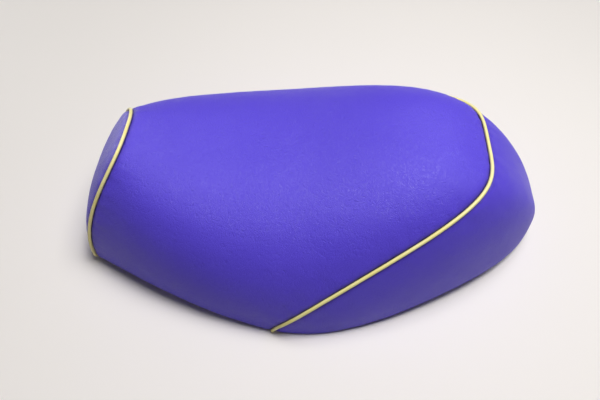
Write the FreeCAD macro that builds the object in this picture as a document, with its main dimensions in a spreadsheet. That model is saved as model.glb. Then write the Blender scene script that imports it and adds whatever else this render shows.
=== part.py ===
"""Scooter seat: a moulded pan, a foam bun and a sewn three-panel cover on a front hinge.

+X runs to the tail, +Z up, Y across. The origin is under the middle of the seat, in the
plane that the bumpers, the hinge leaf and the striker rest on. Millimetres.
"""
import FreeCAD
import Part
import Sketcher
import math
import os
import re

Vector = FreeCAD.Vector

SIZES = [
    # outline of the covered seat
    ("seat_length", 570.0, "nose to tail"),
    ("seat_width", 340.0, "across the widest place"),
    ("widest_place", -12.0, "X of the widest place"),
    ("nose_width", 167.0, "across the front seam"),
    ("nose_depth", 17.5, "how far the front panel bulges from its seam"),
    ("nose_taper", 1.63, "exponent of the front half of the plan"),
    ("tail_fullness", 0.72, "exponent of the rear half of the plan"),
    ("tail_pinch", 0.57, "how much the rear half narrows on its way to the tail"),
    ("end_squareness", 2.05, "exponent of the rounding at nose and tail"),
    # side view: heights of the lower rim and of the crown at the five quarter stations
    ("rim_nose", 7.0, "rim height at the nose"),
    ("rim_front", 13.0, "rim height a quarter of the way back"),
    ("rim_middle", 2.0, "rim height in the middle"),
    ("rim_rear", 14.0, "rim height three quarters of the way back"),
    ("rim_tail", 8.0, "rim height at the tail"),
    ("crown_nose", 152.0, "crown height at the nose"),
    ("crown_front", 144.0, "crown height a quarter of the way back"),
    ("crown_middle", 149.0, "crown height in the middle"),
    ("crown_rear", 197.0, "crown height three quarters of the way back"),
    ("crown_tail", 179.0, "crown height at the tail, before rounding"),
    ("side_wall", 19.0, "upright band above the rim"),
    ("side_squareness", 2.78, "exponent of the section, across"),
    ("tail_squareness", 3.0, "what the tail adds to that exponent"),
    ("crown_squareness", 1.8, "exponent of the section, upwards"),
    ("lean_slope", 0.0, "how fast the nose starts to lean back"),
    ("lean_setback", 54.0, "how far the top of the front seam sits behind its foot"),
    ("lean_reach", 140.0, "length of the nose that leans"),
    # rear seam, side view
    ("seam_foot_x", -40.5, "rear seam at the rest plane"),
    ("seam_low_x", 3.8, "rear seam at seam_low_z"),
    ("seam_low_z", 54.0, "height of its lower point"),
    ("seam_high_x", 74.8, "rear seam at seam_high_z"),
    ("seam_high_z", 101.0, "height of its upper point"),
    ("seam_crown_x", 192.5, "rear seam at seam_crown_z"),
    ("seam_crown_z", 155.0, "height of its crown point"),
    # cover, piping and foam
    ("skin", 1.2, "vinyl thickness"),
    ("hem", 18.0, "width of the turned-under hem"),
    ("soft_gap", 0.3, "room between the soft layers"),
    ("piping_bead", 4.2, "diameter of the piping"),
    ("bead_gap", 0.05, "room between the piping and the vinyl"),
    # seat pan
    ("pan_wall", 3.0, "pan wall"),
    ("flange", 24.0, "width of the pan's out-turned flange"),
    ("deck_rise", 26.0, "height of the pan's deck above the flange's underside"),
    ("rib_depth", 8.0, "depth of the ribs under the deck"),
    ("rib_wall", 2.5, "rib thickness"),
    ("rib_pitch", 45.0, "spacing of the cross ribs"),
    ("rib_reach", 150.0, "how far the ribs run from the middle, both ways"),
    ("spine_y", 34.0, "distance of each lengthwise rib from the middle"),
    ("pad_step", 2.5, "how far the flat pads stand out of the deck, both ways"),
    ("post_radius", 9.0, "radius of the bumper posts"),
    ("pocket_gap", 2.0, "room in the foam round the fastenings"),
    # staples
    ("staple_crown", 9.0, "staple crown length"),
    ("staple_wire", 0.7, "staple wire, square"),
    ("staple_leg", 3.6, "staple leg length"),
    ("staple_inset", 11.0, "distance of the staples from the outside"),
    ("staple_pitch", 32.0, "staple spacing, about"),
    # fastenings
    ("bolt_radius", 3.0, "M6 shank"),
    ("hole_radius", 3.3, "clearance hole for M6"),
    ("hex_radius", 5.77, "M6 head and nut, over the corners"),
    ("head_height", 4.0, "M6 head"),
    ("nut_height", 5.0, "M6 nut"),
    ("bolt_spare", 3.0, "bolt end beyond its nut"),
    ("washer_radius", 7.5, "flat washer"),
    ("washer_wall", 1.5, "flat washer thickness"),
    # front hinge
    ("pin_back", 60.0, "hinge axis behind the nose"),
    ("pin_z", 14.0, "hinge axis above the rest plane"),
    ("pin_radius", 4.0, "hinge pin"),
    ("pin_gap", 0.05, "running clearance round the pin"),
    ("pin_head", 7.0, "pin head radius"),
    ("pin_head_wall", 2.5, "pin head thickness"),
    ("groove_depth", 0.8, "depth of the clip groove"),
    ("clip_radius", 7.0, "retaining clip radius"),
    ("clip_wall", 1.0, "retaining clip thickness"),
    ("eye_radius", 9.0, "rounding of the hinge ears"),
    ("leaf_wall", 3.0, "hinge leaf sheet"),
    ("leaf_width", 44.0, "over the leaf's ears"),
    ("leaf_length", 68.0, "leaf length"),
    ("leaf_eye", 8.0, "rounding of the leaf's ears"),
    ("leaf_bolt_pitch", 26.0, "between the leaf's bolt holes, across"),
    ("leaf_bolt_back", 42.0, "bolt holes behind the hinge axis"),
    ("bracket_wall", 2.5, "hinge bracket sheet"),
    ("bracket_length", 50.0, "hinge bracket length"),
    ("bracket_margin", 9.0, "bracket edge beyond its bolts"),
    ("bush_wall", 1.2, "bush wall and flange"),
    ("bush_flange", 7.0, "bush flange radius"),
    ("side_play", 0.15, "end play at each bush"),
    ("bracket_bolt_y", 36.0, "bracket bolts from the middle"),
    ("bracket_bolt_back", 12.0, "bracket bolts behind the hinge axis"),
    ("bracket_bolt_pitch", 20.0, "between the bracket bolts, lengthwise"),
    ("backing_wall", 2.0, "backing plate above the pan"),
    # striker
    ("striker_ahead", 92.0, "striker ahead of the tail"),
    ("striker_wire", 4.0, "striker wire radius"),
    ("striker_legs", 36.0, "between the striker's legs"),
    ("striker_bend", 9.0, "bend radius of the wire's axis"),
    ("striker_bolt_y", 33.0, "striker bolts from the middle"),
    ("striker_margin", 9.0, "striker plate edge beyond its bolts"),
    ("striker_plate_wall", 2.5, "striker plate"),
    ("striker_plate_length", 30.0, "striker plate, lengthwise"),
    # bumpers and breather plugs
    ("bumper_radius", 12.0, "bumper foot"),
    ("bumper_height", 11.0, "bumper foot height"),
    ("bumper_chamfer", 2.0, "bevel of the bumper foot"),
    ("stem_radius", 4.0, "bumper stem"),
    ("stem_length", 10.0, "bumper stem length"),
    ("stem_gap", 0.1, "room round the stem"),
    ("front_bumper_back", 75.0, "front bumpers behind the hinge axis"),
    ("front_bumper_in", 76.0, "front bumpers in from the outside"),
    ("side_bumper_back", 225.0, "side bumpers behind the hinge axis"),
    ("side_bumper_in", 48.0, "side bumpers in from the outside"),
    ("rear_bumper_ahead", 58.0, "rear bumpers ahead of the striker"),
    ("rear_bumper_in", 51.0, "rear bumpers in from the outside"),
    ("plug_radius", 6.0, "breather plug"),
    ("plug_flange", 8.5, "breather plug flange radius"),
    ("plug_flange_wall", 1.5, "breather plug flange"),
    ("plug_y", 70.0, "breather plugs from the middle"),
]


def fill_sheet(sheet):
    for row, (alias, value, note) in enumerate(SIZES, start=1):
        sheet.set(f"A{row}", note)
        sheet.set(f"B{row}", str(value))
        sheet.setAlias(f"B{row}", alias)


doc = FreeCAD.newDocument("scooter_seat")
sheet = doc.addObject("Spreadsheet::Sheet", "sizes")
fill_sheet(sheet)
doc.recompute()


def size(alias):
    return float(sheet.get(alias))


def side_curve(aliases):
    """Smooth side-view line through five quarter stations; its parameter is X."""
    half = size("seat_length") / 2
    stations = [half * share for share in (-1.0, -0.5, 0.0, 0.5, 1.0)]
    points = [Vector(x, 0, size(alias)) for x, alias in zip(stations, aliases)]
    curve = Part.BSplineCurve()
    curve.interpolate(Points=points, Parameters=stations)
    return curve


def running_lengths(lines):
    """Mean distance run along some lines of equally many points, at each point."""
    runs = [0.0]
    for spot in range(1, len(lines[0])):
        steps = [(line[spot] - line[spot - 1]).Length for line in lines]
        runs.append(runs[-1] + sum(steps) / len(steps))
    return runs


def spline_through(points, parameters):
    curve = Part.BSplineCurve()
    curve.interpolate(Points=list(points), Parameters=parameters)
    return curve


class Form:
    """The seat's outer form, drawn in all round by a depth and open from a base upwards.

    The base is how far above the rim line the form starts.
    """

    TIP = 1.0
    NOSE_TURNS = (89.0, 77.0, 60.0, 40.0, 20.0)
    FRONT_STEPS = 7
    TAIL_TURNS = (14.0, 28.0, 42.0, 54.0, 65.0, 74.0, 82.0, 88.0)
    ARCH_TURNS = (5.0, 13.0, 24.0, 36.0, 48.0, 60.0, 75.0)

    def __init__(self, depth=0.0, base=0.0):
        self.depth = depth
        self.base = base
        self.half = size("seat_length") / 2
        self.seam_x = size("nose_depth") - self.half
        self.rim = side_curve(["rim_nose", "rim_front", "rim_middle", "rim_rear", "rim_tail"])
        self.crown = side_curve(
            ["crown_nose", "crown_front", "crown_middle", "crown_rear", "crown_tail"])

    def shrink(self, length):
        return length * length / (length + self.depth)

    def rounding(self, x):
        """Share of the full height that the rounded ends leave at x."""
        widest = size("widest_place")
        nose = max(0.0, (self.seam_x - x) / size("nose_depth"))
        tail = max(0.0, (x - widest) / (self.half - widest))
        power = size("end_squareness")
        return (1 - max(nose, tail) ** power) ** (1 / power)

    def plan(self, x):
        """Half the outer width at x."""
        widest = size("widest_place")
        full = size("seat_width") / 2
        if x > widest:
            share = (x - widest) / (self.half - widest)
            pinch = size("tail_pinch") * share ** 2 * (1 - share)
            return full * (1 - share ** 2) ** size("tail_fullness") * (1 - pinch)
        share = (widest - x) / (widest - self.seam_x)
        body = full - (full - size("nose_width") / 2) * share ** size("nose_taper")
        return body * self.rounding(x)

    def lean(self, x, z):
        """How far back the leaning nose carries a point; the very tip stays upright."""
        foot = self.rim.value(self.seam_x).z
        tall = self.crown.value(self.seam_x).z - foot
        bow = (size("lean_setback") - size("lean_slope") * tall) / tall ** 2
        reach = size("lean_reach")
        share = min(1.0, max(0.0, (self.seam_x + reach - x) / reach))
        rise = max(0.0, z - foot)
        return share ** 2 * (size("lean_slope") * rise + bow * rise ** 2)

    def section(self, station):
        """Points of one section, from under one side over the crown to the other."""
        low = self.rim.value(station).z
        tall = (self.crown.value(station).z - low) * self.rounding(station)
        wall = max(size("side_wall") * self.rounding(station), self.base + self.TIP)
        half = self.shrink(self.plan(station))
        arch = max(self.shrink(tall) - wall, self.TIP)
        tail_share = max(0.0, station / self.half)
        squareness = size("side_squareness") + size("tail_squareness") * tail_share ** 2
        up = size("crown_squareness")
        side = [(half, low + self.base + (wall - self.base) * share)
                for share in (0.0, 0.35, 0.65, 0.85, 1.0)]
        for turn in self.ARCH_TURNS:
            angle = math.radians(turn)
            side.append((half * math.cos(angle) ** (2 / squareness),
                         low + wall + arch * math.sin(angle) ** (2 / up)))
        crown = [(0.0, low + wall + arch)]
        outline = side + crown + [(-y, z) for y, z in reversed(side)]
        x = station * (self.half - self.depth) / self.half
        return [Vector(x + self.lean(station, z), -y, z) for y, z in outline]

    def stations(self):
        nose = size("nose_depth")
        widest = size("widest_place")
        found = [self.seam_x - nose * math.sin(math.radians(turn)) for turn in self.NOSE_TURNS]
        span = widest - self.seam_x
        found += [self.seam_x + span * i / self.FRONT_STEPS for i in range(self.FRONT_STEPS + 1)]
        span = self.half - widest
        found += [widest + span * math.sin(math.radians(turn)) for turn in self.TAIL_TURNS]
        return found

    def surface(self):
        """One smooth surface through every section, from the nose to the tail."""
        rows = [self.section(station) for station in self.stations()]
        tip = rows[0][0].x
        rows[0] = [Vector(tip, point.y, point.z) for point in rows[0]]
        across = running_lengths([self.section(size("widest_place"))])
        ribs = [spline_through(row, across) for row in rows]
        along = running_lengths(list(zip(*rows)))
        columns = zip(*[rib.getPoles() for rib in ribs])
        lines = [spline_through(column, along) for column in columns]
        net = [list(poles) for poles in zip(*[line.getPoles() for line in lines])]
        skin = Part.BSplineSurface()
        skin.buildFromPolesMultsKnots(
            net, lines[0].getMultiplicities(), ribs[0].getMultiplicities(),
            lines[0].getKnots(), ribs[0].getKnots(), False, False, 3, 3)
        return skin

    def solid(self):
        """The form as a closed solid whose underside is ruled straight across."""
        skin = self.surface()
        nose, tail, near, far = skin.bounds()
        nose, tail = skin.uIso(nose), skin.uIso(tail)
        near, far = skin.vIso(near), skin.vIso(far)
        nose_foot = Part.makeLine(near.StartPoint, far.StartPoint)
        tail_foot = Part.makeLine(near.EndPoint, far.EndPoint)
        faces = [
            skin.toShape(),
            Part.Face(Part.Wire([nose.toShape(), nose_foot])),
            Part.Face(Part.Wire([tail.toShape(), tail_foot])),
            Part.makeRuledSurface(near.toShape(), far.toShape()),
        ]
        shell = Part.Shell(faces)
        shell.sewShape()
        return Part.Solid(shell)


RIM = ["rim_nose", "rim_front", "rim_middle", "rim_rear", "rim_tail"]
REACH = 400.0
UNDER = -60.0
SEAM_STEPS = 40


def rim_height(x):
    return side_curve(RIM).value(x).z


def rim_points(offset):
    curve = side_curve(RIM)
    start, end = curve.StartPoint, curve.EndPoint
    return Vector(-REACH, 0, start.z + offset), Vector(REACH, 0, end.z + offset)


def rim_edges(offset):
    """The rim's side-view line, moved up, and run out level past both ends."""
    curve = side_curve(RIM)
    curve.translate(Vector(0, 0, offset))
    before, after = rim_points(offset)
    return [Part.makeLine(before, curve.StartPoint), curve.toShape(),
            Part.makeLine(curve.EndPoint, after)]


def across(edges):
    """Solid across the whole width from closed side-view edges."""
    face = Part.Face(Part.Wire(Part.sortEdges(edges)[0]))
    face.translate(Vector(0, -REACH, 0))
    return face.extrude(Vector(0, 2 * REACH, 0))


def band(low, high):
    """Everything between two offsets of the rim line; None leaves that side open."""
    edges = []
    corners = []
    for offset, level in ((low, UNDER), (high, REACH)):
        if offset is None:
            ends = Vector(-REACH, 0, level), Vector(REACH, 0, level)
            edges.append(Part.makeLine(*ends))
        else:
            ends = rim_points(offset)
            edges += rim_edges(offset)
        corners.append(ends)
    edges += [Part.makeLine(bottom, top) for bottom, top in zip(*corners)]
    return across(edges)


def front_seam():
    """Side-view line of the front seam; its parameter is the height."""
    form = Form()
    heights = [UNDER + 20 * step for step in range(16)]
    points = [Vector(form.seam_x + form.lean(form.seam_x, z), 0, z) for z in heights]
    return spline_through(points, heights)


def rear_seam():
    """Side-view line of the rear seam; its parameter is the height."""
    marks = [(size("seam_foot_x"), 0.0)]
    for place in ("low", "high", "crown"):
        marks.append((size(f"seam_{place}_x"), size(f"seam_{place}_z")))
    return spline_through([Vector(x, 0, z) for x, z in marks], [z for x, z in marks])


def seam_region(seam, side):
    """Everything on one side of a seam: side is -1 towards the nose, 1 towards the tail."""
    low, high = seam.StartPoint, seam.EndPoint
    slope = seam.tangent(seam.LastParameter)[0]
    far = high + slope * REACH
    corners = [high, far, Vector(side * REACH, 0, REACH) if side < 0 else Vector(far.x, 0, UNDER)]
    if side < 0:
        corners.append(Vector(-REACH, 0, UNDER))
    corners += [Vector(low.x, 0, UNDER), low]
    edges = [seam.toShape()]
    edges += [Part.makeLine(a, b) for a, b in zip(corners, corners[1:]) if (b - a).Length > 0]
    return across(edges)


def seam_path(seam, lift):
    """Line along a seam, raised off the vinyl by lift, from rim to rim."""
    skin = Form(base=-2 * size("piping_bead")).surface()
    nose, tail, near, far = skin.bounds()
    points = []
    for step in range(SEAM_STEPS + 1):
        v = near + (far - near) * step / SEAM_STEPS
        low, high = nose, tail
        for halving in range(40):
            u = (low + high) / 2
            spot = skin.value(u, v)
            height = min(max(spot.z, seam.FirstParameter), seam.LastParameter)
            if spot.x < seam.value(height).x:
                low = u
            else:
                high = u
        points.append(spot + skin.normal(u, v) * lift)
    path = Part.BSplineCurve()
    path.interpolate(Points=points)
    return path


def piping(seam):
    """Round bead lying on the vinyl along a seam, cut off level with the rim."""
    radius = size("piping_bead") / 2
    path = seam_path(seam, radius + size("bead_gap"))
    start = path.value(path.FirstParameter)
    along = path.tangent(path.FirstParameter)[0]
    ring = Part.Wire([Part.Circle(start, along, radius).toShape()])
    tube = Part.Wire([path.toShape()]).makePipeShell([ring], True, True)
    return tube.common(band(0.0, None))


def plan_prism(depth, low, high):
    """Upright block inside the plan outline drawn in by a depth, between rim offsets."""
    form = Form(depth)
    rows = [form.section(station) for station in form.stations()]
    sides = []
    for side in (0, -1):
        points = [Vector(row[0].x, row[side].y, UNDER) for row in rows]
        curve = Part.BSplineCurve()
        curve.interpolate(Points=points)
        sides.append(curve)
    near, far = sides
    edges = [
        near.toShape(),
        Part.makeLine(near.EndPoint, far.EndPoint),
        far.toShape(),
        Part.makeLine(far.StartPoint, near.StartPoint),
    ]
    face = Part.Face(Part.Wire(Part.sortEdges(edges)[0]))
    return face.extrude(Vector(0, 0, REACH)).common(band(low, high))


def cover():
    """The whole vinyl skin with its hem turned under, before it is cut into panels."""
    skin = size("skin")
    outside = Form().solid()
    inside = Form(skin, skin).solid()
    window = plan_prism(skin + size("hem"), -skin, 2 * skin)
    return outside.cut(inside).cut(window)


def foam():
    """The foam bun: fills the cover down to the pan."""
    gap = size("soft_gap")
    flange_top = size("skin") + gap + size("pan_wall")
    bun = Form(size("skin") + gap, flange_top + gap).solid()
    deck = plan_prism(deck_depth() - gap, None, deck_top() + gap)
    return bun.cut(deck)


def deck_depth():
    """How far the raised part of the pan is drawn in from the outside."""
    return size("skin") + 2 * size("soft_gap") + size("flange")


def deck_top():
    """Rim offset of the deck's upper side."""
    return size("skin") + size("soft_gap") + size("deck_rise")


def deck_underside(x):
    """Height of the deck's lower side at x."""
    return rim_height(x) + deck_top() - size("pan_wall")


def hinge_pad():
    """Lengthwise ends and half width of the flat pad that the hinge bracket sits on."""
    start = size("pin_x") - size("eye_radius")
    half = size("bracket_bolt_y") + size("bracket_margin")
    return start, start + size("bracket_length"), half


def striker_pad():
    middle = size("striker_x")
    half = size("striker_plate_length") / 2
    return middle - half, middle + half, size("striker_bolt_y") + size("striker_margin")


def pad_heights(pad):
    """Lower and upper side of a flat pad in the deck."""
    middle = (pad[0] + pad[1]) / 2
    low = deck_underside(middle) - size("pad_step")
    return low, low + size("pan_wall") + 2 * size("pad_step")


def pad_block(pad, low, high, margin=0.0):
    start, end, half = pad
    corner = Vector(start - margin, -half - margin, low)
    return Part.makeBox(end - start + 2 * margin, 2 * (half + margin), high - low, corner)


def bumper_places():
    return [(size(f"{name}_bumper_x"), side * size(f"{name}_bumper_y"))
            for name in ("front", "side", "rear") for side in (-1, 1)]


def bolt_places():
    """Where the hinge bracket's and the striker's bolts pass through the pan."""
    front = size("pin_x") + size("bracket_bolt_back")
    places = [(front + step * size("bracket_bolt_pitch"), side * size("bracket_bolt_y"))
              for step in (0, 1) for side in (-1, 1)]
    return places + [(size("striker_x"), side * size("striker_bolt_y")) for side in (-1, 1)]


def upright(x, y, low, high, radius):
    return Part.makeCylinder(radius, high - low, Vector(x, y, low))


def deck_ribs():
    """Cross ribs and two lengthwise ribs under the deck."""
    reach = size("rib_reach")
    wall = size("rib_wall")
    low, high = UNDER, REACH / 2
    rows = int((reach - size("rib_pitch") / 2) // size("rib_pitch")) + 1
    bars = []
    for row in range(rows):
        for side in (-1, 1):
            x = side * (row + 0.5) * size("rib_pitch") - wall / 2
            bars.append(Part.makeBox(wall, 2 * REACH, high - low, Vector(x, -REACH, low)))
    for side in (-1, 1):
        y = side * size("spine_y") - wall / 2
        bars.append(Part.makeBox(2 * reach, wall, high - low, Vector(-reach, y, low)))
    under = deck_top() - size("pan_wall")
    layer = plan_prism(deck_depth() + size("pan_wall") / 2, under - size("rib_depth"),
                       under + size("pan_wall") / 2)
    return layer.common(bars[0].fuse(bars[1:]))


def pan():
    """The moulded pan: flange, raised deck, ribs, pads and bumper posts."""
    wall = size("pan_wall")
    base = size("skin") + size("soft_gap")
    flange = plan_prism(base + size("soft_gap"), base, base + wall)
    block = plan_prism(deck_depth(), base, deck_top())
    hollow = plan_prism(deck_depth() + wall, None, deck_top() - wall)
    shell = flange.fuse(block).cut(hollow)
    added = [deck_ribs()]
    added += [pad_block(pad, *pad_heights(pad)) for pad in (hinge_pad(), striker_pad())]
    foot = size("bumper_height")
    for x, y in bumper_places():
        added.append(upright(x, y, foot, deck_underside(x) + wall / 2, size("post_radius")))
    bores = []
    for x, y in bumper_places():
        top = foot + size("stem_length") + size("stem_gap")
        bores.append(upright(x, y, foot - 1, top, size("stem_radius") + size("stem_gap")))
    for x, y in bolt_places():
        bores.append(upright(x, y, UNDER, REACH / 2, size("hole_radius")))
    for side in (-1, 1):
        bores.append(upright(0, side * size("plug_y"), UNDER, REACH / 2, size("plug_radius")))
    return shell.fuse(added).cut(bores)


def foam_bun():
    """The foam with pockets over the fastenings that stand up from the pan."""
    gap = size("pocket_gap")
    tops = []
    for pad, spread in ((hinge_pad(), "backing_wall"), (striker_pad(), "washer_wall")):
        low, high = pad_heights(pad)
        tops.append(pad_block(pad, low, high + size(spread) + size("head_height") + gap, gap))
    plug_top = rim_height(0) + deck_top() + size("plug_flange_wall") + gap
    for side in (-1, 1):
        reach = size("plug_flange") + gap
        tops.append(upright(0, side * size("plug_y"), UNDER, plug_top, reach))
    return foam().cut(tops)


def staple():
    """One staple with its crown under the hem, along X, legs up."""
    crown, wire, leg = size("staple_crown") / 2, size("staple_wire"), size("staple_leg")
    outline = [(-crown, -wire), (crown, -wire), (crown, leg), (crown - wire, leg),
               (crown - wire, 0), (wire - crown, 0), (wire - crown, leg), (-crown, leg),
               (-crown, -wire)]
    points = [Vector(x, -wire / 2, z) for x, z in outline]
    return Part.Face(Part.makePolygon(points)).extrude(Vector(0, wire, 0))


def cover_staples():
    """Staples through the hem into the flange, evenly round the rim."""
    form = Form(size("staple_inset"))
    rows = [form.section(station) for station in form.stations()]
    placed = []
    for side in (0, -1):
        line = Part.BSplineCurve()
        line.interpolate(Points=[Vector(row[0].x, row[side].y, 0) for row in rows])
        count = int(line.length() // size("staple_pitch"))
        for step in range(count):
            spot = line.parameterAtDistance((step + 0.5) * line.length() / count)
            here = line.value(spot)
            along = line.tangent(spot)[0]
            rise = (rim_height(here.x + along.x) - rim_height(here.x - along.x)) / 2
            piece = staple()
            turn = FreeCAD.Rotation(Vector(1, 0, 0), Vector(along.x, along.y, rise))
            piece.Placement = FreeCAD.Placement(
                Vector(here.x, here.y, rim_height(here.x)), turn)
            placed.append(piece)
    return Part.makeCompound(placed)


def cells(text):
    """An expression in plain aliases, bound to the sheet."""
    return re.sub(r"[a-z]\w*", lambda word: "sizes." + word.group(), text)


def bind(item, **expressions):
    for name, text in expressions.items():
        item.setExpression(name, cells(text))
    return item


def place(item, x="0", y="0", z="0"):
    for axis, text in zip("xyz", (x, y, z)):
        item.setExpression(f"Placement.Base.{axis}", cells(text))
    return item


def cylinder(radius, height, x="0", y="0", z="0"):
    return place(bind(doc.addObject("Part::Cylinder", "rod"), Radius=radius, Height=height),
                 x, y, z)


def hexagon(radius, height, x="0", y="0", z="0"):
    item = doc.addObject("Part::Prism", "hexagon")
    item.Polygon = 6
    return place(bind(item, Circumradius=radius, Height=height), x, y, z)


def box(length, width, height, x="0", y="0", z="0"):
    item = bind(doc.addObject("Part::Box", "block"), Length=length, Width=width, Height=height)
    return place(item, x, y, z)


def joined(*pieces):
    item = doc.addObject("Part::MultiFuse", "joined")
    item.Shapes = list(pieces)
    return item


def without(base, *tools):
    item = doc.addObject("Part::Cut", "trimmed")
    item.Base = base
    item.Tool = tools[0] if len(tools) == 1 else joined(*tools)
    return item


def group(label, pieces):
    """Like pieces kept as separate solids in one sub-part."""
    item = doc.addObject("Part::Compound", label)
    item.Links = pieces
    return finished(item, label)


def mirrored(source):
    """The same piece across the seat's middle plane."""
    item = doc.addObject("Part::Mirroring", "twin")
    item.Source = source
    item.Normal = Vector(0, 1, 0)
    return item


def finished(item, label):
    item.Label = label
    subparts.append(item)
    return item


def feature(label, shape):
    item = doc.addObject("Part::Feature", label)
    item.Shape = shape
    item.Placement = FreeCAD.Placement()
    return finished(item, label)


def body(name):
    return doc.addObject("PartDesign::Body", name)


def sketch(holder, role, name):
    item = holder.newObject("Sketcher::SketchObject", name)
    plane = next(part for part in holder.Origin.OriginFeatures if part.Role == role)
    item.AttachmentSupport = [(plane, "")]
    item.MapMode = "FlatFace"
    return item


def pin_point(item, line, spot, x, y):
    """Tie one sketch point to the sheet; '0' puts it on the axis."""
    for axis, kind, text in ((-2, "DistanceX", x), (-1, "DistanceY", y)):
        if text == "0":
            item.addConstraint(Sketcher.Constraint("PointOnObject", line, spot, axis))
        else:
            value = item.getPoint(line, spot)[0 if kind == "DistanceX" else 1]
            index = item.addConstraint(Sketcher.Constraint(kind, -1, 1, line, spot, value))
            item.setExpression(f"Constraints[{index}]", cells(text))


def worth(text):
    """What an alias, its negative or "0" comes to now, for a sketch's first guess."""
    if text == "0":
        return 0.0
    return -size(text[1:]) if text.startswith("-") else size(text)


def polygon(item, corners):
    """Closed outline whose corners are tied to the sheet."""
    first = item.GeometryCount
    spots = [Vector(worth(x), worth(y), 0) for x, y in corners]
    for start, end in zip(spots, spots[1:] + spots[:1]):
        item.addGeometry(Part.LineSegment(start, end), False)
    count = len(corners)
    for step, (x, y) in enumerate(corners):
        line = first + step
        before = first + (step - 1) % count
        item.addConstraint(Sketcher.Constraint("Coincident", before, 2, line, 1))
        pin_point(item, line, 1, x, y)


def ring(item, x, y, radius):
    line = item.addGeometry(Part.Circle(Vector(worth(x), worth(y), 0), Vector(0, 0, 1),
                                        worth(radius)), False)
    pin_point(item, line, 3, x, y)
    index = item.addConstraint(Sketcher.Constraint("Radius", line, worth(radius)))
    item.setExpression(f"Constraints[{index}]", cells(radius))


def pad(holder, profile, name, length, both=False):
    item = holder.newObject("PartDesign::Pad", name)
    item.Profile = profile
    item.Midplane = both
    return bind(item, Length=length)


def pocket(holder, profile, name, length, both=False, up=False):
    item = holder.newObject("PartDesign::Pocket", name)
    item.Profile = profile
    item.Midplane = both
    item.Reversed = up
    return bind(item, Length=length)


def turned(name, corners, role="XZ_Plane"):
    """Piece turned about its own upright axis from half its outline."""
    holder = body(name)
    profile = sketch(holder, role, name + "_outline")
    polygon(profile, corners)
    item = holder.newObject("PartDesign::Revolution", name + "_turned")
    item.Profile = profile
    item.ReferenceAxis = (profile, ["V_Axis"])
    item.Angle = 360.0
    return holder


def eared_plate(name, wall, plate, ears, eye, height):
    """Sheet plate on the XY plane with two round-ended ears standing at its end.

    plate is its rear end and half width, ears their outer and inner half width.
    """
    back, half = plate
    outer, inner = ears
    holder = body(name)
    sheet_outline = sketch(holder, "XY_Plane", name + "_plate")
    polygon(sheet_outline, [("-" + eye, "-" + half), (back, "-" + half), (back, half),
                            ("-" + eye, half)])
    pad(holder, sheet_outline, name + "_sheet", wall)
    block = sketch(holder, "XZ_Plane", name + "_ears")
    polygon(block, [("-" + eye, "0"), (eye, "0"), (eye, height), ("-" + eye, height)])
    pad(holder, block, name + "_block", f"2 * {outer}", both=True)
    rounding = sketch(holder, "XZ_Plane", name + "_ends")
    ring(rounding, "0", height, eye)
    pad(holder, rounding, name + "_rounding", f"2 * {outer}", both=True)
    between = sketch(holder, "XY_Plane", name + "_between")
    between.setExpression("AttachmentOffset.Base.z", cells(wall))
    polygon(between, [("-" + back, "-" + inner), (back, "-" + inner), (back, inner),
                      ("-" + back, inner)])
    pocket(holder, between, name + "_gap", f"{height} + 2 * {eye}", up=True)
    return holder


def drill(holder, name, role, centres, radius, length, both=False, up=False):
    """Round holes through a body, square to one of its planes."""
    holes = sketch(holder, role, name)
    for x, y in centres:
        ring(holes, x, y, radius)
    return pocket(holder, holes, name + "_cut", length, both, up)


derived = []


def derive(alias, value, note):
    """A size that follows from others, kept in the sheet below them."""
    derived.append(alias)
    row = len(SIZES) + 1 + len(derived)
    sheet.set(f"A{row}", note)
    sheet.set(f"B{row}", str(value))
    sheet.setAlias(f"B{row}", alias)


def derive_places():
    """Where the hinge, the striker and the bumpers lie, from the outline of the seat."""
    pin = size("pin_back") - size("seat_length") / 2
    striker = size("seat_length") / 2 - size("striker_ahead")
    derive("pin_x", pin, "hinge axis, X")
    derive("striker_x", striker, "striker, X")
    places = {"front": pin + size("front_bumper_back"), "side": pin + size("side_bumper_back"),
              "rear": striker - size("rear_bumper_ahead")}
    for name, x in places.items():
        derive(f"{name}_bumper_x", x, f"{name} bumpers, X")
        derive(f"{name}_bumper_y", Form().plan(x) - size(f"{name}_bumper_in"),
               f"{name} bumpers from the middle")


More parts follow.
